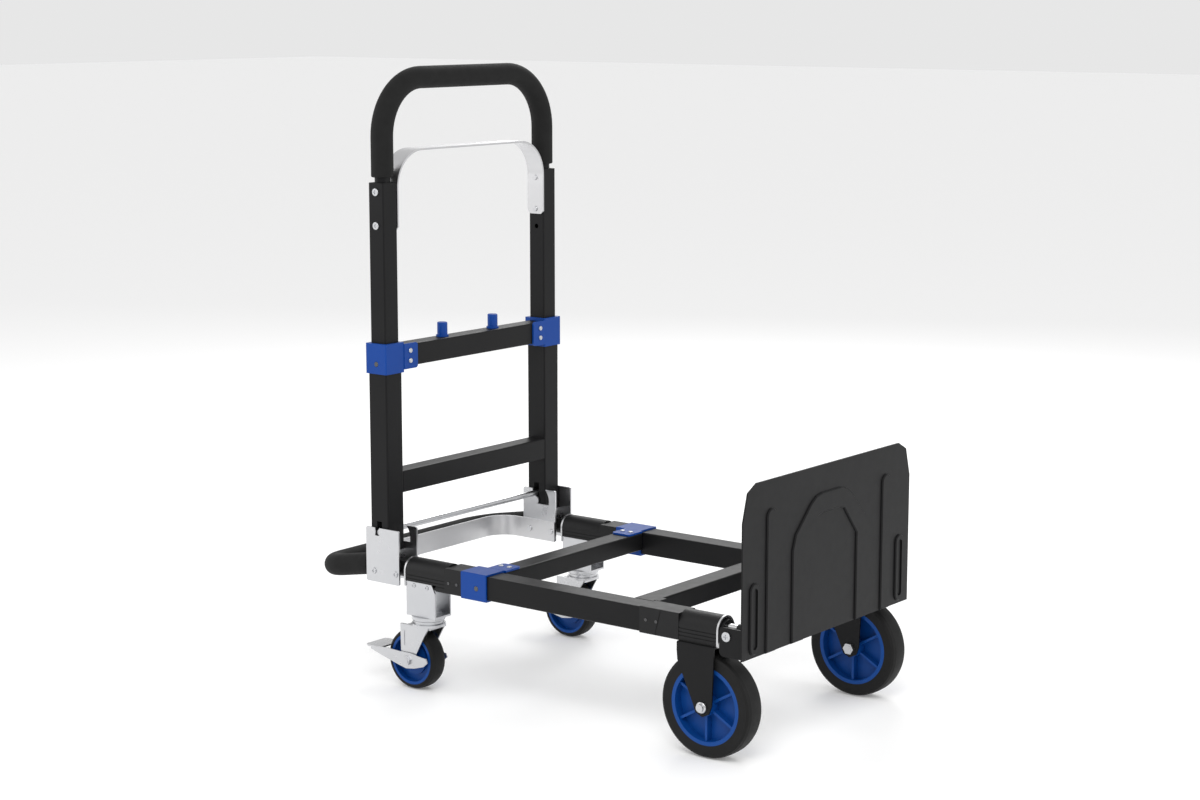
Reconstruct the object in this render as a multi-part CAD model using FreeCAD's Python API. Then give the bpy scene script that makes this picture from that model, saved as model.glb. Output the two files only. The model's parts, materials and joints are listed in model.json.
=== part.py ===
"""Folding platform cart: a telescoping bed on four wheels, a folding upright and a folding toe plate.

Millimetres. +X points from the upright to the toe plate, +Z is up and the floor is z = 0.
Sizes along X are stated from the upright's centre plane; export moves the origin under the cart's middle.
Right-hand pieces are at -Y and left-hand pieces at +Y, as seen by a person who pushes towards +X.
"""

import FreeCAD, Part
import math
import os

V = FreeCAD.Vector

# ---- driving dimensions -------------------------------------------------------------------
CENTRE_X = 281.5          # middle of the whole cart, measured from the upright's centre plane

RAIL_Y = 202.0            # centre line of a bed rail, and of the wheels
RAIL_W = 40.0
RAIL_H = 38.0
RAIL_TOP = 212.0
RAIL_MID = RAIL_TOP - RAIL_H / 2
RAIL_X = (178.0, 600.0)
WALL = 2.0

TUBE_Y = 201.0            # centre line of an upright
LOWER = 38.0              # square lower tube
UPPER = 32.0              # square upper tube
LOWER_Z = (221.0, 558.0)
UPPER_Z = (470.0, 817.5)
PIVOT_Z = 239.0
PIVOT_R = 6.0

LATCH_Z = 252.0
LATCH_R = 5.0
LATCH_LIFT = 12.0

CLAMP_T = 3.0
UP_CLAMP_Z = (512.0, 561.0)
RAIL_CLAMP_X = (177.5, 229.0)
BUTTON_R = 4.0
UP_BUTTON = (1.0, 528.0)
RAIL_BUTTON = (209.0, 191.0)

REAR_BEAM_X = (196.0, 233.0)
FRONT_BEAM_X = (487.0, 524.0)
BEAM_H = 30.0
MIDDLE_BEAM = (-12.0, 20.0, 520.0, 556.0)
LOWER_BEAM = (-14.0, 18.5, 314.0, 350.0)

SLEEVE_FRONT_X = (528.0, 600.0)
SLEEVE_REAR_X = (141.5, 177.0)
END_W = 42.0              # width of the round-topped end extrusion
END_Z = (173.0, 217.0)
END_FRONT_X = (600.0, 668.0)
END_REAR_X = (58.0, 141.5)
RING_T = 3.0
INNER_TUBE_X = (143.0, 432.0)

WHEEL_X = 647.0
WHEEL_Y = 204.0
WHEEL_R = 80.0
WHEEL_W = 37.0
AXLE_R = 6.0

SWIVEL_X = 88.0
CASTER_X = 62.0
CASTER_R = 50.0
CASTER_W = 32.0
CASTER_AXLE_R = 5.0

TOE_BACK_X = 717.0
TOE_FRONT_X = 719.5
TOE_HALF = 232.5
TOE_TOP_HALF = 198.0
TOE_Z = (161.5, 365.0, 420.0)
EMBOSS = 3.0
TOE_PIVOT = (688.0, 193.0)
TOE_PIVOT_R = 4.0

GRIP_R = 18.0
HANDLE_R = 12.5
HANDLE_TOP_Z = 981.0
HANDLE_BEND = 92.0
GRIP_END_Z = 826.0
SCREW_Z = (803.0, 749.5)
STRAP_HOLE_Z = 719.5

REAR_HANDLE_X = -148.0
REAR_HANDLE_BEND = 48.0
REAR_HANDLE_KINK_X = -28.0
REAR_HANDLE_Z = 194.0
REAR_HANDLE_DROP = 10.4   # degrees

BRACKET_X = (-26.5, 45.0)
BRACKET_Z = (170.0, 260.0)
LOW_BOLTS = ((-10.0, 188.0), (37.0, 188.0))

RUN = 0.06                # radial clearance of a running fit
SIDES = (("right", -1), ("left", 1))

nodes = {}


# ---- helpers ------------------------------------------------------------------------------
def box(x0, x1, y0, y1, z0, z1):
    """A block between two corners."""
    return Part.makeBox(x1 - x0, y1 - y0, z1 - z0, V(x0, y0, z0))


def rod(x, y, z, axis, r, length):
    """A cylinder that starts at a point and runs along an axis letter, backwards if length is negative."""
    way = {"x": V(1, 0, 0), "y": V(0, 1, 0), "z": V(0, 0, 1)}[axis]
    if length < 0:
        way = way * -1
    return Part.makeCylinder(r, abs(length), V(x, y, z), way)


def rounded(shape, r, test):
    """Fillets the edges whose middle point passes a test."""
    edges = [e for e in shape.Edges if test(e.CenterOfMass)]
    return shape.makeFillet(r, edges) if edges else shape


def prism(points, way):
    """Extrudes a closed outline of points along a vector."""
    wire = Part.makePolygon(points + [points[0]])
    return Part.Face(wire).extrude(way)


def along(shape, axis):
    """A shape's straight edges that run along an axis letter."""
    index = "xyz".index(axis)
    found = []
    for e in shape.Edges:
        a, b = e.Vertexes[0].Point, e.Vertexes[-1].Point
        d = [abs(b.x - a.x), abs(b.y - a.y), abs(b.z - a.z)]
        if d[index] > 0.01 and sum(d) - d[index] < 0.001:
            found.append(e)
    return found


def square_tube(x0, x1, y0, y1, z0, z1, axis, wall=WALL, r=2.5):
    """A rectangular tube with rounded corners, open along an axis letter."""
    outer = box(x0, x1, y0, y1, z0, z1)
    outer = outer.makeFillet(r, along(outer, axis))
    lo, hi = [x0, y0, z0], [x1, y1, z1]
    for i, a in enumerate("xyz"):
        grow = 1.0 if a == axis else -wall
        lo[i] -= grow
        hi[i] += grow
    inner = box(lo[0], hi[0], lo[1], hi[1], lo[2], hi[2])
    return outer.cut(inner)


def mirrored(shape):
    """The same shape on the other side of the cart."""
    return shape.mirror(V(0, 0, 0), V(0, 1, 0))


def both(shape):
    """A left-hand shape and its right-hand twin."""
    return [shape, mirrored(shape)]


def add(name, shapes):
    """Stores a node: one solid, or a group of separate solids."""
    shapes = shapes if isinstance(shapes, list) else [shapes]
    solids = [s for shape in shapes for s in shape.Solids]
    nodes[name] = solids[0] if len(solids) == 1 else Part.makeCompound(solids)


def add_pair(name, shape):
    """Stores a left-hand shape and its twin as two nodes, where %s in the name is the side."""
    add(name % "left", shape)
    add(name % "right", mirrored(shape))


def screw(x, y, z, head_r, head_t, shank_r, shank, cross=True):
    """A pan-head screw along Y on the left side: the head stands outwards from y, the shank runs inwards."""
    head = rod(x, y, z, "y", head_r, head_t)
    head = rounded(head, head_t * 0.45, lambda p: p.y > y + head_t - 0.01)
    if cross:
        arm = head_r * 0.5
        for w, h in ((arm, 0.9), (0.9, arm)):
            head = head.cut(box(x - w, x + w, y + head_t * 0.45, y + head_t + 1, z - h, z + h))
    return head.fuse(rod(x, y, z, "y", shank_r, -shank)).removeSplitter()


def u_profile(half, bend, start, top, thick):
    """Inner and outer outlines of a flat bar bent into a U: legs at +-half, crossing at top, in (across, up)."""
    def outline(h, t, r):
        s = math.sqrt(0.5)
        c = h - r
        return [
            Part.LineSegment(V(-h, start, 0), V(-h, t - r, 0)),
            Part.Arc(V(-h, t - r, 0), V(-c - r * s, t - r + r * s, 0), V(-c, t, 0)),
            Part.LineSegment(V(-c, t, 0), V(c, t, 0)),
            Part.Arc(V(c, t, 0), V(c + r * s, t - r + r * s, 0), V(h, t - r, 0)),
            Part.LineSegment(V(h, t - r, 0), V(h, start, 0)),
        ]

    outer = [c.toShape() for c in outline(half, top, bend)]
    inner = [c.toShape() for c in outline(half - thick, top - thick, bend - thick)]
    foot_a = Part.makeLine(V(-half, start, 0), V(-half + thick, start, 0))
    foot_b = Part.makeLine(V(half, start, 0), V(half - thick, start, 0))
    wire = Part.Wire(Part.__sortEdges__(outer + inner + [foot_a, foot_b]))
    return Part.Face(wire)


def u_path(half, bend, start, top):
    """The centre line of a bent tube in (across, up), legs at +-half."""
    s = math.sqrt(0.5)
    c = half - bend
    pieces = [
        Part.LineSegment(V(-half, start, 0), V(-half, top - bend, 0)),
        Part.Arc(V(-half, top - bend, 0), V(-c - bend * s, top - bend + bend * s, 0), V(-c, top, 0)),
        Part.LineSegment(V(-c, top, 0), V(c, top, 0)),
        Part.Arc(V(c, top, 0), V(c + bend * s, top - bend + bend * s, 0), V(half, top - bend, 0)),
        Part.LineSegment(V(half, top - bend, 0), V(half, start, 0)),
    ]
    return Part.Wire([p.toShape() for p in pieces])


def bent_tube(half, bend, start, top, r_out, r_in):
    """A round tube swept along a U in the (across, up) plane."""
    path = u_path(half, bend, start, top)
    solids = []
    for r in (r_out, r_in):
        circle = Part.Wire(Part.makeCircle(r, V(-half, start, 0), V(0, 1, 0)))
        solids.append(path.makePipeShell([circle], True, False))
    return solids[0].cut(solids[1])


def standing(shape):
    """Turns (across, up) into (Y, Z)."""
    turned = shape.copy()
    turned.rotate(V(0, 0, 0), V(0, 0, 1), 90)
    turned.rotate(V(0, 0, 0), V(0, 1, 0), 90)
    turned.rotate(V(0, 0, 0), V(0, 0, 1), 180)
    return turned


def lying(shape):
    """Turns (across, up) into (Y, -X)."""
    turned = shape.copy()
    turned.rotate(V(0, 0, 0), V(0, 0, 1), 90)
    return turned


# ---- bed ----------------------------------------------------------------------------------
def d_outline(x, shrink):
    """The round-topped outline of an end extrusion at x, made smaller all round by shrink."""
    h = END_W / 2 - shrink
    low, top = END_Z[0] + shrink, END_Z[1] - shrink
    shoulder = top - h
    edges = [
        Part.makeLine(V(x, -h, low), V(x, h, low)),
        Part.makeLine(V(x, h, low), V(x, h, shoulder)),
        Part.Arc(V(x, h, shoulder), V(x, 0, top), V(x, -h, shoulder)).toShape(),
        Part.makeLine(V(x, -h, shoulder), V(x, -h, low)),
    ]
    return Part.Face(Part.Wire(edges))


def d_solid(x0, x1, shrink):
    """A round-topped bar on the left rail's line."""
    solid = d_outline(x0, shrink).extrude(V(x1 - x0, 0, 0))
    solid.translate(V(0, RAIL_Y, 0))
    return solid


def end_extrusion(x0, x1):
    """The ribbed hollow end extrusion."""
    shape = d_solid(x0, x1, 0).cut(d_solid(x0 - 1, x1 + 1, 3.5))
    for side in (-1, 1):
        face = RAIL_Y + side * END_W / 2
        for z in (181.0, 186.5, 192.0):
            groove = box(x0 - 1, x1 + 1, min(face, face - side), max(face, face - side), z - 0.8, z + 0.8)
            shape = shape.cut(groove)
    return shape


def end_ring(x0, x1):
    """A bright ring that caps the end of an extrusion."""
    return d_solid(x0, x1, -0.4).cut(d_solid(x0 - 1, x1 + 1, 2.6))


def make_rails():
    y0, y1 = RAIL_Y - RAIL_W / 2, RAIL_Y + RAIL_W / 2
    rail = square_tube(RAIL_X[0], RAIL_X[1], y0, y1, RAIL_TOP - RAIL_H, RAIL_TOP, "x")
    rail = rail.cut(rod(RAIL_BUTTON[0], y1 - 5, RAIL_BUTTON[1], "y", BUTTON_R + 0.3, 10))
    add("bed_rails", both(rail))
    low = RAIL_TOP - BEAM_H
    rear = square_tube(*REAR_BEAM_X, -(y0 - CLAMP_T), y0 - CLAMP_T, low, RAIL_TOP, "y")
    add("rear_cross_beam", rear)
    add("front_cross_beam", square_tube(*FRONT_BEAM_X, -y0, y0, low, RAIL_TOP, "y"))


def make_rail_clamps():
    x0, x1 = RAIL_CLAMP_X
    y0, y1 = RAIL_Y - RAIL_W / 2, RAIL_Y + RAIL_W / 2
    z0, z1 = RAIL_TOP - RAIL_H, RAIL_TOP
    clamp = box(x0, x1, y0 - CLAMP_T, y1 + CLAMP_T, z0 - CLAMP_T, z1 + CLAMP_T)
    clamp = clamp.makeFillet(2.0, along(clamp, "x"))
    clamp = clamp.cut(box(x0 - 1, x1 + 1, y0, y1, z0, z1))
    tab_end = y0 - 40
    tab = box(REAR_BEAM_X[0], REAR_BEAM_X[1], tab_end, y0 - CLAMP_T + 1, z1, z1 + CLAMP_T)
    tab = rounded(tab, 6.0, lambda p: abs(p.y - tab_end) < 0.1 and abs(p.z - z1 - CLAMP_T / 2) < 0.1)
    clamp = clamp.fuse(tab).removeSplitter()
    clamp = clamp.cut(rod(RAIL_BUTTON[0], y1 - 1, RAIL_BUTTON[1], "y", BUTTON_R + 0.3, 10))
    add("rail_clamps", both(clamp))
    rivets = []
    for x in (206.0, 223.0):
        rivet = rod(x, y0 - 22, z1 + CLAMP_T, "z", 4.0, 2.0)
        rivets.append(rounded(rivet, 1.2, lambda p: p.z > z1 + CLAMP_T + 1.99))
    add("rail_clamp_rivets", [s for r in rivets for s in both(r)])


def make_sleeves():
    y0, y1 = RAIL_Y - RAIL_W / 2 - 1.5, RAIL_Y + RAIL_W / 2 + 1.5
    z0, z1 = RAIL_TOP - RAIL_H - 1.5, RAIL_TOP + 1.5
    front = square_tube(*SLEEVE_FRONT_X, y0, y1, z0, z1, "x", wall=1.5)
    line = prism([V(556.0, y1 - 0.6, z0), V(557.5, y1 - 0.6, z0), V(568.5, y1 - 0.6, z1), V(567.0, y1 - 0.6, z1)],
                 V(0, 2, 0))
    front = front.cut(line)
    lip = box(524.0, 534.0, y0 - 18, y0 + 0.2, RAIL_TOP - BEAM_H, RAIL_TOP + 1.5)
    front = front.fuse(lip).removeSplitter()
    for x in (540.0, 559.0):
        front = front.cut(rod(x, y1 - 1.4, 194.0, "y", 1.2, 5))
    add("front_sleeves", both(front))
    rear = square_tube(*SLEEVE_REAR_X, y0, y1, z0, z1, "x", wall=4.0)
    rear = rear.cut(box(140.0, 180.0, 185.0, 219.0, 177.0, 209.0))
    for x in (150.0, 167.0):
        rear = rear.cut(rod(x, y1 - 1.4, 190.5, "y", 1.2, 5))
    add("rear_sleeves", both(rear))
    add("front_sleeve_screws", [s for x in (540.0, 559.0) for s in both(screw(x, y1, 194.0, 2.4, 1.0, 1.2, 1.4))])
    add("rear_sleeve_screws", [s for x in (150.0, 167.0) for s in both(screw(x, y1, 190.5, 2.4, 1.0, 1.2, 1.4))])


def make_inner_tubes():
    inner = square_tube(*INNER_TUBE_X, 185.0, 219.0, 177.0, 209.0, "x", wall=1.5, r=2.0)
    for x in (RAIL_BUTTON[0], RAIL_BUTTON[0] + 100, RAIL_BUTTON[0] + 200):
        inner = inner.cut(rod(x, 215.0, RAIL_BUTTON[1], "y", BUTTON_R + 1, 10))
    add("bed_inner_tubes", both(inner))


def make_front_ends():
    x0, x1 = END_FRONT_X
    add("front_end_extrusions", both(end_extrusion(x0, x1)))
    add("front_end_rings", both(end_ring(x1, x1 + RING_T)))
    plug = d_solid(x1 - 12, x1 + RING_T, 3.5).fuse(d_solid(x1 + RING_T, 676.0, 5.0))
    lug = box(674.0, 698.0, 212.0, 222.0, 180.0, 204.0)
    lug = rounded(lug, 5.0, lambda p: abs(p.x - 698.0) < 0.1 and abs(p.y - 217.0) < 0.1)
    plug = plug.fuse(lug).removeSplitter()
    plug = plug.cut(rod(TOE_PIVOT[0], 211.3, TOE_PIVOT[1], "y", TOE_PIVOT_R, 20))
    guide = rod(650.0, 204.0, 201.0, "x", 6.0, 44.0)
    plug = plug.cut(guide)
    add("front_end_plugs", both(plug))
    add("toe_guide_pins", both(guide))
    knob = rod(694.0, 204.0, 201.0, "x", 7.5, 17.0)
    add("toe_stop_knobs", both(rounded(knob, 1.5, lambda p: True)))


def make_front_forks():
    out, ins = WHEEL_Y + 22.0, WHEEL_Y - 22.0
    t = 2.5
    profile = [(600.5, 170.5), (667.5, 170.5), (667.0, 160.0), (664.0, 84.0), (659.0, 71.0), (647.0, 65.0),
               (635.0, 71.0), (630.0, 84.0), (602.0, 145.0), (600.5, 160.0)]
    leg = prism([V(x, out, z) for x, z in profile], V(0, t, 0))
    legs = leg.fuse(prism([V(x, ins - t, z) for x, z in profile], V(0, t, 0)))
    shelf = box(600.5, 667.5, ins - t, out + t, 170.5, 173.0)
    fork = legs.fuse(shelf).removeSplitter()
    edges = [e for e in along(fork, "x") if abs(e.CenterOfMass.z - 173.0) < 0.01]
    fork = fork.makeFillet(2.4, edges)
    fork = fork.cut(rod(WHEEL_X, ins - 10, 80.0, "y", AXLE_R, 70))
    add("front_forks", both(fork))
    axle = rod(WHEEL_X, ins - 8, 80.0, "y", AXLE_R, 62)
    head = rod(WHEEL_X, out + t, 80.0, "y", 9.0, 4.5)
    head = rounded(head, 2.6, lambda p: p.y > out + t + 4.4)
    nut = prism([V(WHEEL_X + 9.5 * math.cos(a), ins - t, 80.0 + 9.5 * math.sin(a))
                 for a in [math.radians(60 * i) for i in range(6)]], V(0, -5.0, 0))
    axle = axle.fuse(head).fuse(nut).removeSplitter()
    add("front_axles", both(axle))


def wheel_tyre(x, y, r, width, bead_r):
    """A solid rubber tyre with a crowned tread and square shoulders."""
    h = width / 2
    pts = [(bead_r, -h + 1.0), (r - 6.0, -h), (r - 2.5, -h + 2.0), (r - 0.6, -h + 7.0), (r, 0.0),
           (r - 0.6, h - 7.0), (r - 2.5, h - 2.0), (r - 6.0, h), (bead_r, h - 1.0)]
    edges = [
        Part.makeLine(V(0, pts[0][1], pts[0][0]), V(0, pts[1][1], pts[1][0])),
        Part.makeLine(V(0, pts[1][1], pts[1][0]), V(0, pts[2][1], pts[2][0])),
        Part.makeLine(V(0, pts[2][1], pts[2][0]), V(0, pts[3][1], pts[3][0])),
        Part.Arc(*[V(0, b, a) for a, b in pts[3:6]]).toShape(),
        Part.makeLine(V(0, pts[5][1], pts[5][0]), V(0, pts[6][1], pts[6][0])),
        Part.makeLine(V(0, pts[6][1], pts[6][0]), V(0, pts[7][1], pts[7][0])),
        Part.makeLine(V(0, pts[7][1], pts[7][0]), V(0, pts[8][1], pts[8][0])),
        Part.makeLine(V(0, pts[8][1], pts[8][0]), V(0, pts[0][1], pts[0][0])),
    ]
    tyre = Part.Face(Part.Wire(edges)).revolve(V(0, 0, 0), V(0, 1, 0), 360)
    tyre.translate(V(x, y, r))
    return tyre


def ring(x, y, z, r_out, r_in, width):
    """A ring about Y, centred at a point."""
    outer = rod(x, y - width / 2, z, "y", r_out, width)
    return outer.cut(rod(x, y - width / 2 - 1, z, "y", r_in, width + 2))


def spoked_rim(x, y):
    """The front wheel's blue rim: band, web disc, hub and six radial ribs on each side of the web."""
    z, r = WHEEL_R, 60.0
    rim = ring(x, y, z, r, r - 6.0, WHEEL_W - 2)
    rim = rim.fuse(ring(x, y, z, r - 5.0, 12.0, 4.0))
    rim = rim.fuse(ring(x, y, z, 15.0, AXLE_R + RUN, 42.0))
    for i in range(6):
        rib = box(x + 12.0, x + r - 5.0, y - 13.5, y + 13.5, z - 2.0, z + 2.0)
        rib.rotate(V(x, y, z), V(0, 1, 0), 60 * i + 30)
        rim = rim.fuse(rib)
    rim = rim.cut(rod(x, y - 30, z, "y", AXLE_R + RUN, 60))
    return rim.removeSplitter()


def make_front_wheels():
    for side, s in SIDES:
        add("front_tyre_%s" % side, wheel_tyre(WHEEL_X, s * WHEEL_Y, WHEEL_R, WHEEL_W, 60.0))
        add("front_rim_%s" % side, spoked_rim(WHEEL_X, s * WHEEL_Y))


# ---- toe plate ----------------------------------------------------------------------------
def chamfered_front(shape, size):
    """Slopes the front edges of an embossed shape."""
    front = TOE_FRONT_X + EMBOSS
    edges = [e for e in shape.Edges if abs(e.CenterOfMass.x - front) < 0.01]
    return shape.makeChamfer(size, edges)


def upright_slot(y, half, z0, z1, x0, x1):
    """A plate outline with round ends, standing along Z."""
    body = box(x0, x1, y - half, y + half, z0 + half, z1 - half)
    for z in (z0 + half, z1 - half):
        body = body.fuse(rod(x0, y, z, "x", half, x1 - x0))
    return body.removeSplitter()


def house(points):
    """A symmetric outline given by its left-hand points, open at the plate's lower edge."""
    low = TOE_Z[0]
    left = [(points[0][0], low)] + points
    outline = left + [(-y, z) for y, z in reversed(left)]
    return prism([V(TOE_FRONT_X, y, z) for y, z in outline], V(EMBOSS, 0, 0))


def make_toe_plate():
    low, shoulder, top = TOE_Z
    half, tip = TOE_HALF, TOE_TOP_HALF
    outline = [(-half, low), (half, low), (half, shoulder), (half - 12.0, top - 12.0), (tip, top),
               (-tip, top), (-half + 12.0, top - 12.0), (-half, shoulder)]
    plate = prism([V(TOE_BACK_X, y, z) for y, z in outline], V(TOE_FRONT_X - TOE_BACK_X, 0, 0))
    band = house([(105.0, 303.0), (97.0, 326.0), (56.0, 366.0), (42.0, 375.0), (26.0, 378.0)])
    hollow = house([(73.0, 300.0), (36.0, 344.0), (24.0, 347.0)])
    plate = plate.fuse(chamfered_front(band.cut(hollow), 1.8))
    for s in (-1, 1):
        rib = upright_slot(s * 160.0, 13.0, low - 20.0, 377.0, TOE_FRONT_X, TOE_FRONT_X + EMBOSS)
        rib = rib.common(box(TOE_FRONT_X, TOE_FRONT_X + EMBOSS, -300, 300, low, 500))
        plate = plate.fuse(chamfered_front(rib, 1.8))
        pad = upright_slot(s * 203.0, 12.0, 166.0, 273.0, TOE_FRONT_X, TOE_FRONT_X + EMBOSS)
        pad = chamfered_front(pad, 1.6)
        pad = pad.cut(upright_slot(s * 203.0, 6.0, 174.0, 265.0, TOE_FRONT_X + 0.8, TOE_FRONT_X + 9))
        plate = plate.fuse(pad)
        ear_y = 223.5 if s > 0 else -226.0
        ear = box(675.0, TOE_BACK_X + 0.5, ear_y, ear_y + 2.5, 162.0, 206.0)
        ear = rounded(ear, 8.0, lambda p: abs(p.x - 675.0) < 0.1 and abs(abs(p.y) - 224.75) < 0.1)
        ear = ear.cut(rod(TOE_PIVOT[0], ear_y - 1, TOE_PIVOT[1], "y", TOE_PIVOT_R + RUN, 5))
        plate = plate.fuse(ear)
    add("toe_plate", plate.removeSplitter())
    add("toe_pivot_screws", both(screw(TOE_PIVOT[0], 226.3, TOE_PIVOT[1], 7.5, 2.6, TOE_PIVOT_R, 15.0)))


# ---- rear assembly of the bed -------------------------------------------------------------
def make_rear_ends():
    x0, x1 = END_REAR_X
    extrusion = end_extrusion(x0, x1)
    notch = box(x0 - 1, 122.0, 178.0, 185.0, 172.0, 182.0)
    notch = notch.fuse(box(x0 - 1, 122.0, 219.0, 226.0, 172.0, 182.0))
    add("rear_end_extrusions", both(extrusion.cut(notch)))
    add("rear_end_rings", both(end_ring(x0 - RING_T, x0)))
    plug = d_solid(x0 - RING_T, x0 + 12, 4.0).cut(rod(x0 - 5, RAIL_Y, REAR_HANDLE_Z, "x", HANDLE_R, 30))
    add("rear_end_plugs", both(plug))


def make_uprights_brackets():
    x0, x1 = BRACKET_X
    z0, z1 = BRACKET_Z
    plates = []
    for y0, y1 in ((178.0, 181.0), (221.0, 224.0)):
        plate = box(x0, x1, y0, y1, z0, z1)
        plates.append(plate.makeFillet(3.0, along(plate, "y")))
    inner, outer = plates
    notch = box(-6.5, 2.5, 220.0, 225.0, 247.0, z1 + 1)
    outer = outer.cut(notch)
    sweep = Part.makeCylinder(31.0, 5.0, V(0, 177.0, PIVOT_Z), V(0, 1, 0))
    sweep = sweep.cut(Part.makeCylinder(7.4, 7.0, V(0, 176.0, PIVOT_Z), V(0, 1, 0)))
    sweep = sweep.common(box(-5.6, 40.0, 176.0, 183.0, PIVOT_Z - 5.6, 290.0))
    sweep = sweep.fuse(box(-5.6, 5.6, 176.0, 183.0, PIVOT_Z + 8.0, z1 + 1))
    inner = inner.cut(sweep)
    web = box(x0, x0 + 3.0, 181.0, 221.0, z0, 207.0)
    bracket = inner.fuse(outer).fuse(web).removeSplitter()
    bracket = bracket.cut(rod(x0 - 1, RAIL_Y, REAR_HANDLE_Z, "x", HANDLE_R, 6))
    for x, z in LOW_BOLTS:
        bracket = bracket.cut(rod(x, 170.0, z, "y", 3.0, 60))
    bracket = bracket.cut(rod(0, 170.0, PIVOT_Z, "y", PIVOT_R, 60))
    add("upright_brackets", both(bracket))
    pin = rod(0, 178.0, PIVOT_Z, "y", PIVOT_R, 46.0)
    add("pivot_pins", both(pin))
    bolts = []
    for x, z in LOW_BOLTS:
        bolt = screw(x, 224.0, z, 5.0, 2.2, 3.0, 9.0)
        inside = rod(x, 175.0, z, "y", 3.0, 13)
        cap = rod(x, 175.0, z, "y", 5.0, -2.2)
        inside = inside.fuse(rounded(cap, 1.0, lambda p: p.y < 172.9))
        bolts += both(bolt) + both(inside.removeSplitter())
    add("bracket_bolts", bolts)


def make_rear_strap():
    face = u_profile(178.0, 42.0, -BRACKET_X[1], 80.0, 3.0)
    strap = lying(face.extrude(V(0, 0, 35.0)))
    strap.translate(V(0, 0, 170.5))
    for x, z in LOW_BOLTS:
        strap = strap.cut(rod(x, -200, z, "y", 3.0, 400))
    add("rear_strap", strap)


def make_rear_handle():
    start = -REAR_HANDLE_KINK_X
    reach = -REAR_HANDLE_X
    tube = lying(bent_tube(RAIL_Y, REAR_HANDLE_BEND, start, reach, HANDLE_R, HANDLE_R - 1.5))
    grip = lying(bent_tube(RAIL_Y, REAR_HANDLE_BEND, start + 5.0, reach, GRIP_R, HANDLE_R))
    for shape in (tube, grip):
        shape.translate(V(0, 0, REAR_HANDLE_Z))
        shape.rotate(V(REAR_HANDLE_KINK_X, 0, REAR_HANDLE_Z), V(0, 1, 0), -REAR_HANDLE_DROP)
    for s in (-1, 1):
        leg = rod(REAR_HANDLE_KINK_X, s * RAIL_Y, REAR_HANDLE_Z, "x", HANDLE_R, 88.0)
        knee = Part.makeSphere(HANDLE_R, V(REAR_HANDLE_KINK_X, s * RAIL_Y, REAR_HANDLE_Z))
        tube = tube.fuse(leg).fuse(knee)
    add("rear_handle_tube", tube.removeSplitter())
    add("rear_handle_grip", grip)


def make_caster_brackets():
    x0, x1 = 58.0, 119.0
    outline = [(x0, 125.0), (x1, 125.0), (x1, 168.0), (x1 - 7, 181.0), (x0, 181.0)]
    legs = []
    for y in (182.5, 219.0):
        legs.append(prism([V(x, y, z) for x, z in outline], V(0, 2.5, 0)))
    bracket = legs[0].fuse(legs[1]).fuse(box(x0, x1, 182.5, 221.5, 125.0, 128.0)).removeSplitter()
    bracket = bracket.cut(rod(SWIVEL_X, RAIL_Y, 120.0, "z", CASTER_AXLE_R + RUN, 12))
    screws = []
    for x in (74.0, 102.0):
        bracket = bracket.cut(rod(x, 218.0, 175.0, "y", 1.8, 5))
        screws += both(screw(x, 221.5, 175.0, 3.6, 1.6, 1.8, 2.4))
    add("caster_brackets", both(bracket))
    add("caster_bracket_screws", screws)


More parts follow.
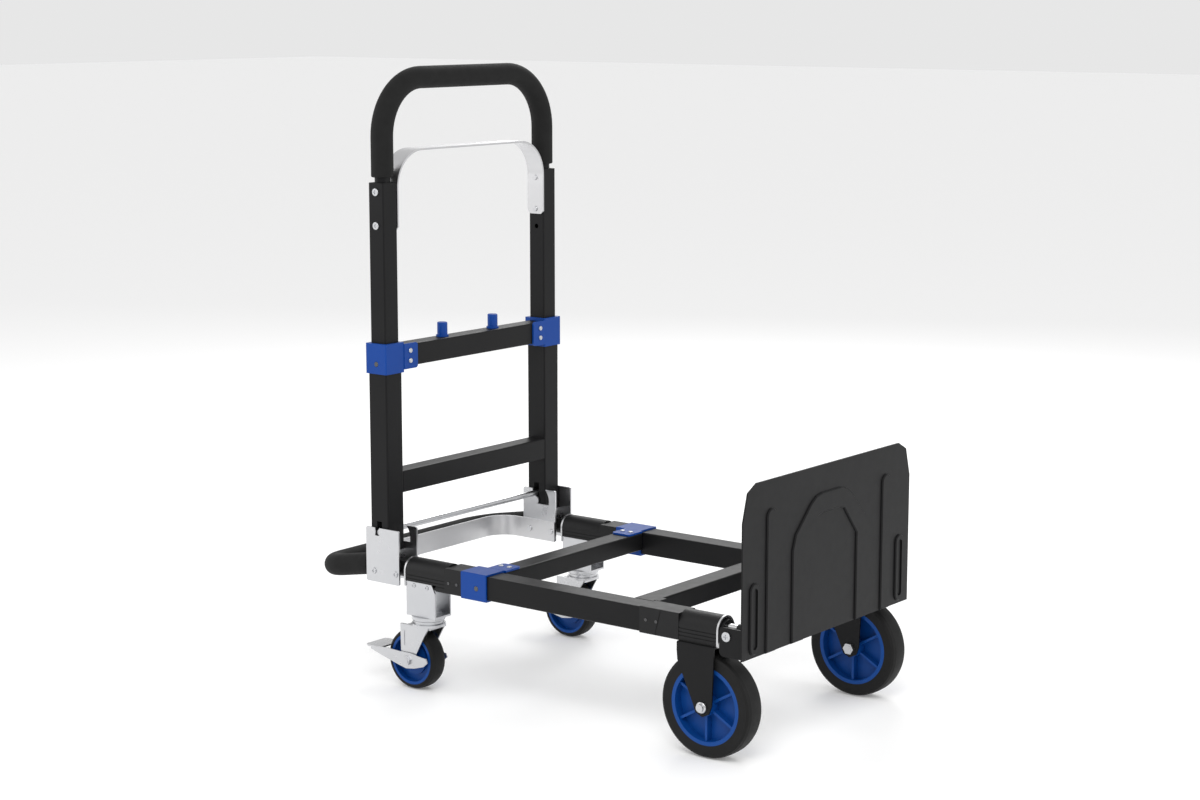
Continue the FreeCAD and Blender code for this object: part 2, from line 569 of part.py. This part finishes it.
def make_casters():
    head = rod(SWIVEL_X, RAIL_Y, 118.0, "z", 27.0, 6.7)
    head = rounded(head, 2.5, lambda p: abs(p.z - 118.0) < 0.1)
    head = head.fuse(rod(SWIVEL_X, RAIL_Y, 113.0, "z", 24.0, 5.0))
    head = head.fuse(rod(SWIVEL_X, RAIL_Y, 109.0, "z", 27.5, 4.0))
    king = rod(SWIVEL_X, RAIL_Y, 110.0, "z", CASTER_AXLE_R, 18.3)
    nut = prism([V(SWIVEL_X + 8.5 * math.cos(a), RAIL_Y + 8.5 * math.sin(a), 128.3)
                 for a in [math.radians(60 * i) for i in range(6)]], V(0, 0, 6.0))
    head = head.fuse(king).fuse(nut).removeSplitter()
    leg = [(46.0, 109.0), (47.0, 62.0), (52.0, 44.0), (60.0, 39.0), (70.0, 42.0), (74.0, 52.0), (96.0, 92.0),
           (106.0, 109.0)]
    legs = [prism([V(x, y, z) for x, z in leg], V(0, 2.5, 0)) for y in (180.0, 221.5)]
    crown = box(58.0, 108.0, 182.5, 221.5, 105.5, 109.0)
    fork = legs[0].fuse(legs[1]).fuse(crown)
    fork = fork.fuse(box(46.0, 58.0, 182.5, 184.0, 104.0, 109.0)).fuse(box(46.0, 58.0, 220.0, 221.5, 104.0, 109.0))
    fork = fork.fuse(box(49.0, 55.0, 224.0, 225.0, 74.0, 98.0)).removeSplitter()
    fork = fork.cut(rod(CASTER_X, 170.0, CASTER_R, "y", CASTER_AXLE_R, 70))
    axle = rod(CASTER_X, 172.5, CASTER_R, "y", CASTER_AXLE_R, 59)
    for y, way in ((176.9, -1), (227.4, 1)):
        axle = axle.fuse(prism([V(CASTER_X + 8.5 * math.cos(a), y, CASTER_R + 8.5 * math.sin(a))
                                for a in [math.radians(60 * i + 15) for i in range(6)]], V(0, way * 3.5, 0)))
    add_pair("caster_head_%s", head)
    add("caster_fork_left", [fork, axle.removeSplitter()])
    add("caster_fork_right", [mirrored(fork), mirrored(axle.removeSplitter())])
    for side, s in SIDES:
        add("caster_tyre_%s" % side, wheel_tyre(CASTER_X, s * RAIL_Y, CASTER_R, CASTER_W, 42.0))
        y, z, r = s * RAIL_Y, CASTER_R, 42.0
        rim = ring(CASTER_X, y, z, r, r - 4.5, CASTER_W - 2)
        rim = rim.fuse(ring(CASTER_X, y, z, r - 4.0, 10.0, 8.0))
        rim = rim.fuse(ring(CASTER_X, y, z, 26.0, 10.0, 16.0))
        rim = rim.fuse(ring(CASTER_X, y, z, 13.0, CASTER_AXLE_R + RUN, 37.0))
        add("caster_rim_%s" % side, rim.cut(rod(CASTER_X, y - 30, z, "y", CASTER_AXLE_R + RUN, 60)).removeSplitter())


def make_pedals():
    arm = [(-16.0, 62.0), (-18.0, 57.0), (6.0, 50.0), (44.0, 40.0), (60.0, 36.5), (78.0, 39.0), (98.0, 45.0),
           (106.0, 52.0), (103.0, 59.0), (84.0, 61.0), (70.0, 63.0), (48.0, 63.0), (20.0, 64.0)]
    plates = [prism([V(x, y, z) for x, z in arm], V(0, 2.0, 0)) for y in (177.2, 224.8 + 0.3)]
    tread = box(-30.0, 4.0, 177.2, 227.1, 60.0, 62.5)
    tread = rounded(tread, 8.0, lambda p: p.x < -29.0 and abs(p.z - 61.25) < 0.1)
    pedal = plates[0].fuse(plates[1]).fuse(tread).removeSplitter()
    pedal = pedal.cut(rod(CASTER_X, 170.0, CASTER_R, "y", CASTER_AXLE_R + RUN, 70))
    add_pair("brake_pedal_%s", pedal)


# ---- upright ------------------------------------------------------------------------------
def make_upright():
    h = LOWER / 2
    y0, y1 = TUBE_Y - h, TUBE_Y + h
    tube = square_tube(-h, h, y0, y1, *LOWER_Z, "z")
    tube = tube.cut(rod(0, y0 - 1, PIVOT_Z, "y", PIVOT_R + RUN, LOWER + 2))
    slot_low = LATCH_Z - LATCH_R - 0.4
    slot = box(-LATCH_R - 0.3, LATCH_R + 0.3, y0 - 1, y1 + 1, slot_low, LATCH_Z + LATCH_LIFT + LATCH_R + 1)
    tube = tube.cut(slot)
    tube = tube.cut(rod(UP_BUTTON[0], y1 - 4, UP_BUTTON[1], "y", BUTTON_R + 0.3, 8))
    add("upright_lower_tubes", both(tube))
    for name, (x0, x1, z0, z1) in (("middle_beam", MIDDLE_BEAM), ("lower_beam", LOWER_BEAM)):
        end = y0 - CLAMP_T if name == "middle_beam" else y0
        add("upright_" + name, square_tube(x0, x1, -end, end, z0, z1, "y"))
    k = h + CLAMP_T
    z0, z1 = UP_CLAMP_Z
    clamp = box(-k, k, TUBE_Y - k, TUBE_Y + k, z0, z1)
    clamp = clamp.makeFillet(2.0, along(clamp, "z"))
    clamp = clamp.cut(box(-h, h, y0, y1, z0 - 1, LOWER_Z[1]))
    g = UPPER / 2 + 0.4
    clamp = clamp.cut(box(-g, g, TUBE_Y - g, TUBE_Y + g, z0, z1 + 1))
    tab_end = y0 - 34.0
    tab = box(MIDDLE_BEAM[1], MIDDLE_BEAM[1] + CLAMP_T, tab_end, y0 - CLAMP_T + 1, 516.5, 558.0)
    tab = rounded(tab, 5.0, lambda p: abs(p.y - tab_end) < 0.1 and abs(p.x - MIDDLE_BEAM[1] - 1.5) < 0.1)
    clamp = clamp.fuse(tab).removeSplitter()
    clamp = clamp.cut(rod(UP_BUTTON[0], y1 - 1, UP_BUTTON[1], "y", BUTTON_R + 0.3, 10))
    add("upright_clamps", both(clamp))
    rivets = []
    for z in (546.0, 529.5):
        rivet = rod(MIDDLE_BEAM[1] + CLAMP_T, y0 - 16, z, "x", 4.0, 2.0)
        rivets += both(rounded(rivet, 1.2, lambda p: p.x > MIDDLE_BEAM[1] + CLAMP_T + 1.99))
    add("upright_clamp_rivets", rivets)
    peg = rod(2.0, 64.0, MIDDLE_BEAM[3], "z", 8.5, 24.0)
    peg = rounded(peg, 2.0, lambda p: p.z > MIDDLE_BEAM[3] + 23.9)
    foot = rod(2.0, 64.0, MIDDLE_BEAM[3], "z", 10.5, 3.0)
    add("hook_pegs", both(peg.fuse(foot).removeSplitter()))
    add("latch_bar", rod(0, -220.3, LATCH_Z, "y", LATCH_R, 440.6))


def make_buttons():
    up = rod(UP_BUTTON[0], 217.6, UP_BUTTON[1], "y", BUTTON_R, 6.2)
    low = rod(RAIL_BUTTON[0], 219.6, RAIL_BUTTON[1], "y", BUTTON_R, 6.2)
    for name, button in (("upright_button_%s", up), ("bed_button_%s", low)):
        tip = max(v.Point.y for v in button.Vertexes)
        add_pair(name, rounded(button, 1.2, lambda p: p.y > tip - 0.1))


# ---- telescoping handle -------------------------------------------------------------------
def make_handle():
    h = UPPER / 2
    y0, y1 = TUBE_Y - h, TUBE_Y + h
    tube = square_tube(-h, h, y0, y1, *UPPER_Z, "z", wall=1.5)
    tube = tube.cut(rod(UP_BUTTON[0], y1 - 3, UP_BUTTON[1], "y", BUTTON_R + 1, 8))
    tube = tube.cut(rod(0, y0 - 1, STRAP_HOLE_Z, "y", 4.0, 4))
    for z in SCREW_Z:
        tube = tube.cut(rod(0, y0 - 1, z, "y", 3.0, UPPER + 2))
    add("upright_upper_tubes", both(tube))
    strap = standing(u_profile(y0, 60.0, 741.0, 868.5, 3.0).extrude(V(0, 0, 34.0)))
    strap.translate(V(-strap.BoundBox.Center.x, 0, 0))
    for s in (-1, 1):
        corner = [e for e in along(strap, "y") if e.CenterOfMass.z < 741.1 and e.CenterOfMass.y * s > 0]
        strap = strap.makeChamfer(5.0, corner)
    frame = bent_tube(TUBE_Y, HANDLE_BEND, 735.0, HANDLE_TOP_Z, HANDLE_R, HANDLE_R - 1.5)
    frame = standing(frame)
    for z in SCREW_Z:
        strap = strap.cut(rod(0, -300, z, "y", 3.0, 600))
        frame = frame.cut(rod(0, -300, z, "y", 3.0, 600))
    add("top_strap", strap)
    add("handle_tube", frame)
    add("handle_grip", standing(bent_tube(TUBE_Y, HANDLE_BEND, GRIP_END_Z, HANDLE_TOP_Z, GRIP_R, HANDLE_R)))
    bolts = []
    for z in SCREW_Z:
        bolt = screw(0, y1, z, 6.2, 2.4, 3.0, UPPER + 3.0)
        cap = rod(0, y0 - 3.0, z, "y", 4.6, -2.0)
        bolt = bolt.fuse(rounded(cap, 0.9, lambda p: p.y < y0 - 4.9))
        bolts += both(bolt.removeSplitter())
    add("handle_screws", bolts)


# ---- build --------------------------------------------------------------------------------
def main():
    for make in (make_rails, make_rail_clamps, make_sleeves, make_inner_tubes, make_front_ends, make_front_forks,
                 make_front_wheels, make_toe_plate, make_rear_ends, make_uprights_brackets, make_rear_strap,
                 make_rear_handle, make_caster_brackets, make_casters, make_pedals, make_upright, make_buttons,
                 make_handle):
        make()
    os.makedirs("parts", exist_ok=True)
    total = FreeCAD.BoundBox()
    for name, shape in nodes.items():
        shape.translate(V(-CENTRE_X, 0, 0))
        if not shape.isValid():
            print("INVALID", name)
        total.add(shape.optimalBoundingBox(True, False))
        shape.exportStep("parts/%s.step" % name)
    print("nodes", len(nodes), "box", total)
    print("centre x off by", round(total.Center.x, 3))


main()
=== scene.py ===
import json
import logging
import math
from dataclasses import dataclass, field
from enum import Enum

import bpy
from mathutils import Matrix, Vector


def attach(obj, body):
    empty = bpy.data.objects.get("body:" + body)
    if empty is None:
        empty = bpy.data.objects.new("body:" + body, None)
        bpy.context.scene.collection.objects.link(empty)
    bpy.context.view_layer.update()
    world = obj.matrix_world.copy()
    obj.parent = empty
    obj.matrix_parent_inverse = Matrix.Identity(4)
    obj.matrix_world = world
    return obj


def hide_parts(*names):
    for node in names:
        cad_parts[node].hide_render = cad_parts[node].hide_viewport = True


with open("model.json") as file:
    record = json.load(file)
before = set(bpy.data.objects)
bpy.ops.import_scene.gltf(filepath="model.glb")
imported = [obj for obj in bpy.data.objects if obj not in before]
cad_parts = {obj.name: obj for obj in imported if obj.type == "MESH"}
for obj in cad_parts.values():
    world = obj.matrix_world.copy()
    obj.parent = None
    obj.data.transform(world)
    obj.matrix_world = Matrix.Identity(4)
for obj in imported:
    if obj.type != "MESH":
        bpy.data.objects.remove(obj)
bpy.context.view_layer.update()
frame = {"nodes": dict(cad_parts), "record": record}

logging.basicConfig(level=logging.INFO, format="%(message)s")
log = logging.getLogger("cart")

MM = 0.001
CENTRE_X = 281.5            # the cart's middle, forward of the upright's centre plane, in millimetres

GRIP_SIDES = 48
LEG_STEPS = 5
BEND_STEPS = 16
CROSSING_STEPS = 12
GRIP_END_ROUND = 0.0022
WELD = 0.00001
END_EDGE_ANGLE = math.radians(60.0)
SMOOTH_ANGLE = math.radians(40.0)
QUARTER_TURN = math.radians(90.0)


class Finish(str, Enum):
    """The material slots of the record."""

    BLACK_PAINT = "black_paint"
    BLUE_PLASTIC = "blue_plastic"
    BLUE_WHEEL = "blue_wheel"
    ZINC = "zinc"
    CHROME = "chrome"
    SATIN_STEEL = "satin_steel"
    BLACK_PLASTIC = "black_plastic"
    DARK_STEEL = "dark_steel"
    FOAM = "foam"
    RUBBER_TYRE = "rubber_tyre"


@dataclass(frozen=True)
class Surface:
    """What one finish looks like. Its relief is noise, or closed cells for foam.

    Attributes:
        colour: the base colour, linear RGB.
        tint: the colour that patches of the surface drift towards.
        rough: the middle roughness.
        spread: how far the roughness drifts either way.
        metallic: 1 for bare metal.
        specular: the strength of the plain reflection, 0.5 for an ordinary dielectric.
        grain: noise cycles per metre of the fine relief.
        relief: the height of the fine relief in metres.
        stretch: how much the grain is drawn out along X, Y and Z.
        cells: true where the relief is made of closed cells instead of noise.
    """

    colour: tuple[float, float, float]
    tint: tuple[float, float, float]
    rough: float
    spread: float
    metallic: float = 0.0
    specular: float = 0.5
    grain: float = 900.0
    relief: float = 0.00002
    stretch: tuple[float, float, float] = (1.0, 1.0, 1.0)
    cells: bool = False


PAINT_BLACK = (0.0045, 0.0045, 0.005)
WORN_BLACK = (0.009, 0.009, 0.0095)

SURFACES: dict[Finish, Surface] = {
    Finish.BLACK_PAINT: Surface(
        PAINT_BLACK, WORN_BLACK, 0.4, 0.07, specular=0.16, grain=1100.0, relief=0.00003,
    ),
    Finish.BLUE_PLASTIC: Surface(
        (0.002, 0.042, 0.24), (0.003, 0.055, 0.3), 0.36, 0.06, specular=0.2, grain=700.0,
    ),
    Finish.BLUE_WHEEL: Surface(
        (0.002, 0.045, 0.22), (0.003, 0.06, 0.27), 0.4, 0.08, specular=0.2, grain=900.0,
    ),
    Finish.ZINC: Surface(
        (0.6, 0.6, 0.61), (0.5, 0.51, 0.53), 0.3, 0.08, metallic=1.0, grain=260.0,
    ),
    Finish.CHROME: Surface(
        (0.72, 0.72, 0.72), (0.62, 0.62, 0.63), 0.12, 0.04, metallic=1.0, grain=200.0, relief=0.000004,
    ),
    Finish.SATIN_STEEL: Surface(
        (0.62, 0.62, 0.63), (0.54, 0.54, 0.55), 0.36, 0.1,
        metallic=1.0, grain=1500.0, relief=0.00001, stretch=(0.05, 1.0, 1.0),
    ),
    Finish.BLACK_PLASTIC: Surface(
        PAINT_BLACK, WORN_BLACK, 0.48, 0.08, specular=0.25, grain=1600.0, relief=0.00004,
    ),
    Finish.DARK_STEEL: Surface(
        (0.09, 0.09, 0.095), (0.13, 0.13, 0.13), 0.35, 0.08, metallic=0.8, grain=400.0,
    ),
    Finish.FOAM: Surface(
        (0.0035, 0.0035, 0.0035), (0.007, 0.007, 0.007), 0.8, 0.08,
        specular=0.3, grain=900.0, relief=0.00022, cells=True,
    ),
    Finish.RUBBER_TYRE: Surface(
        (0.0045, 0.0045, 0.0046), (0.01, 0.01, 0.0098), 0.6, 0.12, specular=0.2, grain=800.0, relief=0.00007,
    ),
}

PATCH_SCALE = 9.0
SMEAR_SCALE = 70.0
BUMP_STRENGTH = 0.6


class Sock:
    """One shader socket with arithmetic: each operator adds a Math node to the tree."""

    def __init__(self, tree: "Tree", socket: bpy.types.NodeSocket) -> None:
        self.tree = tree
        self.socket = socket

    def _math(self, operation: str, other: "Sock | float") -> "Sock":
        """Adds one Math node.

        Args:
            operation: the node's operation.
            other: the second input.

        Returns:
            The node's output.
        """
        return self.tree.node("ShaderNodeMath", {0: self, 1: other}, operation=operation)

    def __add__(self, other: "Sock | float") -> "Sock":
        return self._math("ADD", other)

    def __sub__(self, other: "Sock | float") -> "Sock":
        return self._math("SUBTRACT", other)

    def __mul__(self, other: "Sock | float") -> "Sock":
        return self._math("MULTIPLY", other)


class Tree:
    """A material's node tree."""

    def __init__(self, name: str) -> None:
        """Makes an empty material with an output.

        Args:
            name: the material's name.
        """
        self.material = bpy.data.materials.new(name)
        self.material.use_nodes = True
        self.nodes = self.material.node_tree.nodes
        self.links = self.material.node_tree.links
        self.nodes.clear()

    def node(self, kind: str, inputs: dict, out: int | str = 0, **settings: object) -> Sock:
        """Adds any node.

        Args:
            kind: the node's class name.
            inputs: socket name or number to a Sock or a constant.
            out: the output to return.
            **settings: the node's own properties.

        Returns:
            The chosen output socket.
        """
        new = self.nodes.new(kind)
        for key, value in settings.items():
            setattr(new, key, value)
        for key, value in inputs.items():
            if isinstance(value, Sock):
                self.links.new(value.socket, new.inputs[key])
            else:
                new.inputs[key].default_value = value
        return Sock(self, new.outputs[out])

    def node_output(self, shader: Sock) -> None:
        """Joins a shader to the material's output.

        Args:
            shader: the finished shader.
        """
        end = self.nodes.new("ShaderNodeOutputMaterial")
        self.links.new(shader.socket, end.inputs["Surface"])

    def mix(self, factor: Sock, a: tuple, b: tuple) -> Sock:
        """Mixes two colours.

        Args:
            factor: where in between.
            a: the colour at 0.
            b: the colour at 1.

        Returns:
            The colour socket.
        """
        return self.node("ShaderNodeMix", {0: factor, 6: (*a, 1.0), 7: (*b, 1.0)}, out=2, data_type="RGBA")


class Paints:
    """Builds each finish once."""

    def __init__(self) -> None:
        self.made: dict[Finish, bpy.types.Material] = {}

    def get(self, finish: Finish) -> bpy.types.Material:
        """The material of a finish.

        Args:
            finish: the material slot.

        Returns:
            The Blender material.
        """
        if finish not in self.made:
            self.made[finish] = self._build(finish, SURFACES[finish])
        return self.made[finish]

    def _build(self, finish: Finish, s: Surface) -> bpy.types.Material:
        """Builds one finish: drifting colour, smeared roughness and fine relief.

        Args:
            finish: the material slot, for the name.
            s: what the finish looks like.

        Returns:
            The new material.
        """
        tree = Tree(f"mat_{finish.value}")
        place = tree.node("ShaderNodeTexCoord", {}, out="Object")
        drawn = tree.node("ShaderNodeVectorMath", {0: place, 1: s.stretch}, operation="MULTIPLY")
        patches = tree.node("ShaderNodeTexNoise", {"Vector": place, "Scale": PATCH_SCALE, "Detail": 4.0})
        smears = tree.node("ShaderNodeTexNoise", {"Vector": drawn, "Scale": SMEAR_SCALE, "Detail": 5.0})
        rough = (smears - 0.5) * (s.spread * 2.0) + (patches - 0.5) * s.spread + s.rough
        if s.cells:
            fine = tree.node("ShaderNodeTexVoronoi", {"Vector": drawn, "Scale": s.grain})
        else:
            fine = tree.node("ShaderNodeTexNoise", {"Vector": drawn, "Scale": s.grain, "Detail": 2.0})
        bump = tree.node("ShaderNodeBump", {"Height": fine, "Strength": BUMP_STRENGTH, "Distance": s.relief})
        shader = tree.node("ShaderNodeBsdfPrincipled", {
            "Base Color": tree.mix(patches, s.colour, s.tint),
            "Roughness": rough,
            "Metallic": s.metallic,
            "Specular IOR Level": s.specular,
            "Normal": bump,
        })
        tree.node_output(shader)
        return tree.material


@dataclass
class SubAssembly:
    """A named set of CAD nodes on one body, with one finish per node."""

    body: str
    nodes: dict[str, Finish] = field(default_factory=dict)

    def dress(self, paints: Paints) -> None:
        """Assigns each node's material.

        Args:
            paints: the finish builder.
        """
        for name, finish in self.nodes.items():
            obj = frame["nodes"][name]
            obj.data.materials.clear()
            obj.data.materials.append(paints.get(finish))
            log.info("%s: %s in %s", self.body, name, finish.value)


@dataclass
class FoamGrip:
    """A foam sleeve swept along a U in a plane.

    Attributes:
        name: the object's name.
        body: the CAD body it rides on.
        node: the CAD node it stands for.
        half: half the distance between the legs.
        bend: the centre-line bend radius.
        start: where the legs start along the U's depth.
        top: where the crossing is.
        radius: the sleeve's outer radius.
        tilt: rotation about Y in degrees that lays the U down, measured from standing.
        pivot: the point the U's depth is measured from, in millimetres from the origin.
    """

    name: str
    body: str
    node: str
    half: float
    bend: float
    start: float
    top: float
    radius: float
    tilt: float
    pivot: tuple[float, float, float]

    def _point(self, across: float, depth: float) -> Vector:
        """A point of the U's plane in metres, from its across and depth in millimetres."""
        return (Vector(self.pivot) + Vector((0.0, across, 0.0)) + self._way() * depth) * MM

    def _way(self) -> Vector:
        """The unit vector from the legs' feet to the crossing."""
        a = math.radians(self.tilt)
        return Vector((math.sin(a), 0.0, math.cos(a)))

    def _run(self, way: Vector, length: float, steps: int) -> None:
        """Extrudes the selected ring along a straight line.

        Args:
            way: the unit direction.
            length: the whole length in millimetres.
            steps: how many sections to make.
        """
        for _ in range(steps):
            move = way * (length * MM / steps)
            bpy.ops.mesh.extrude_region_move(TRANSFORM_OT_translate={"value": tuple(move)})

    def _turn(self, across: float) -> None:
        """Spins the selected ring a quarter turn round a bend's centre.

        Args:
            across: the bend centre's place across the U.
        """
        centre = self._point(across, self.top - self.bend)
        axis = self._way().cross(Vector((0.0, 1.0, 0.0)))
        bpy.ops.mesh.spin(steps=BEND_STEPS, angle=-QUARTER_TURN, center=tuple(centre), axis=tuple(axis))

    def build(self, paints: Paints) -> bpy.types.Object:
        """Builds the sleeve as one swept skin with rounded ends.

        Args:
            paints: the finish builder.

        Returns:
            The new object.
        """
        bpy.ops.object.select_all(action="DESELECT")
        bpy.ops.mesh.primitive_circle_add(vertices=GRIP_SIDES, radius=self.radius * MM, fill_type="NOTHING",
                                          location=self._point(-self.half, self.start),
                                          rotation=(0.0, math.radians(self.tilt), 0.0))
        obj = bpy.context.object
        obj.name = self.name
        obj.data.name = self.name
        bpy.ops.object.transform_apply(location=True, rotation=True, scale=True)
        leg = self.top - self.bend - self.start
        inner = self.half - self.bend
        bpy.ops.object.mode_set(mode="EDIT")
        bpy.ops.mesh.select_mode(type="EDGE")
        bpy.ops.mesh.select_all(action="SELECT")
        self._run(self._way(), leg, LEG_STEPS)
        self._turn(-inner)
        self._run(Vector((0.0, 1.0, 0.0)), 2.0 * inner, CROSSING_STEPS)
        self._turn(inner)
        self._run(-self._way(), leg, LEG_STEPS)
        bpy.ops.mesh.select_all(action="SELECT")
        bpy.ops.mesh.remove_doubles(threshold=WELD)
        bpy.ops.mesh.fill_holes(sides=0)
        bpy.ops.mesh.select_all(action="SELECT")
        bpy.ops.mesh.normals_make_consistent(inside=False)
        bpy.ops.mesh.select_all(action="DESELECT")
        bpy.ops.mesh.edges_select_sharp(sharpness=END_EDGE_ANGLE)
        bpy.ops.mesh.bevel(offset=GRIP_END_ROUND, segments=3, affect="EDGES")
        bpy.ops.object.mode_set(mode="OBJECT")
        bpy.ops.object.shade_smooth_by_angle(angle=SMOOTH_ANGLE)
        obj.data.materials.append(paints.get(Finish.FOAM))
        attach(obj, self.body)
        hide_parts(self.node)
        log.info("%s: foam grip %s", self.body, self.name)
        return obj


class Cart:
    """The whole cart: the CAD bodies with their finishes, and the foam grips."""

    def __init__(self) -> None:
        record = frame["record"]
        slots = {row["node"]: Finish(row["material_slot"]) for row in record["subparts"]}
        bodies = record["behaviour"]["bodies"]
        self.paints = Paints()
        self.parts = [SubAssembly(body, {n: slots[n] for n in nodes}) for body, nodes in bodies.items()]
        self.grips = [
            FoamGrip("foam_grip_top", "handle", "handle_grip", 201.0, 92.0, 826.0, 981.0, 18.0, 0.0,
                     (-CENTRE_X, 0.0, 0.0)),
            FoamGrip("foam_grip_rear", "bed_rear", "rear_handle_grip", 202.0, 48.0, 5.0, 120.0, 18.0, -100.4,
                     (-28.0 - CENTRE_X, 0.0, 194.0)),
        ]

    def build(self) -> None:
        """Dresses every node and adds the grips."""
        for part in self.parts:
            part.dress(self.paints)
        for grip in self.grips:
            grip.build(self.paints)


@dataclass(frozen=True)
class Lamp:
    """One soft square light that points at the cart.

    Attributes:
        name: the object's name.
        place: where it hangs, in metres.
        size: the side of the square in metres.
        watts: its power.
    """

    name: str
    place: tuple[float, float, float]
    size: float
    watts: float


class Studio:
    """A pale floor, soft lights and the camera."""

    FLOOR_SIZE = 60.0
    FLOOR_COLOUR = (0.9, 0.9, 0.9, 1.0)
    FLOOR_GLOW = 0.12
    SKY_STRENGTH = 0.8
    AIM = Vector((0.0, 0.0, 0.35))
    LAMPS = (
        Lamp("key", (1.6, -2.4, 3.0), 1.8, 48.0),
        Lamp("fill", (-2.6, -1.8, 1.6), 2.2, 18.0),
        Lamp("rim", (-1.4, 2.6, 2.4), 1.6, 40.0),
        Lamp("front", (3.0, 0.6, 1.2), 1.4, 14.0),
    )
    CAMERA_PLACE = (2.321275, -3.002141, 1.107669)
    CAMERA_AZIMUTH = 37.714
    CAMERA_ELEVATION = 9.548
    CAMERA_LENS = 71.85
    CAMERA_SENSOR = 36.0

    def _floor(self) -> None:
        """Adds the floor, which glows faintly so that it stays pale."""
        bpy.ops.object.select_all(action="DESELECT")
        bpy.ops.mesh.primitive_plane_add(size=self.FLOOR_SIZE, location=(0.0, 0.0, 0.0))
        floor = bpy.context.object
        floor.name = "studio_floor"
        tree = Tree("mat_floor")
        tree.node_output(tree.node("ShaderNodeBsdfPrincipled", {
            "Base Color": self.FLOOR_COLOUR,
            "Roughness": 0.9,
            "Emission Color": (1.0, 1.0, 1.0, 1.0),
            "Emission Strength": self.FLOOR_GLOW,
        }))
        floor.data.materials.append(tree.material)

    def _sky(self) -> None:
        """Adds an even white surround."""
        world = bpy.data.worlds.new("studio")
        world.use_nodes = True
        background = world.node_tree.nodes["Background"]
        background.inputs["Color"].default_value = (1.0, 1.0, 1.0, 1.0)
        background.inputs["Strength"].default_value = self.SKY_STRENGTH
        bpy.context.scene.world = world

    def _hang(self, lamp: Lamp) -> None:
        """Adds one light.

        Args:
            lamp: what to hang, and where.
        """
        data = bpy.data.lights.new(lamp.name, "AREA")
        data.energy = lamp.watts
        data.size = lamp.size
        light = bpy.data.objects.new(lamp.name, data)
        light.location = lamp.place
        light.rotation_euler = (self.AIM - Vector(lamp.place)).to_track_quat("-Z", "Y").to_euler()
        bpy.context.scene.collection.objects.link(light)

    def _camera(self) -> None:
        """Adds the camera at its calibrated place."""
        data = bpy.data.cameras.new("camera")
        data.lens = self.CAMERA_LENS
        data.sensor_width = self.CAMERA_SENSOR
        camera = bpy.data.objects.new("camera", data)
        camera.location = self.CAMERA_PLACE
        pitch = math.radians(90.0 - self.CAMERA_ELEVATION)
        camera.rotation_euler = (pitch, 0.0, math.radians(self.CAMERA_AZIMUTH))
        bpy.context.scene.collection.objects.link(camera)
        bpy.context.scene.camera = camera

    def build(self) -> None:
        """Adds the floor, surround, lights and camera."""
        self._floor()
        self._sky()
        for lamp in self.LAMPS:
            self._hang(lamp)
        self._camera()
        bpy.context.scene.view_settings.view_transform = "Standard"
        log.info("studio: %d lights", len(self.LAMPS))


def main() -> None:
    """Builds the cart and its studio."""
    Cart().build()
    Studio().build()


if __name__ == "__main__":
    main()
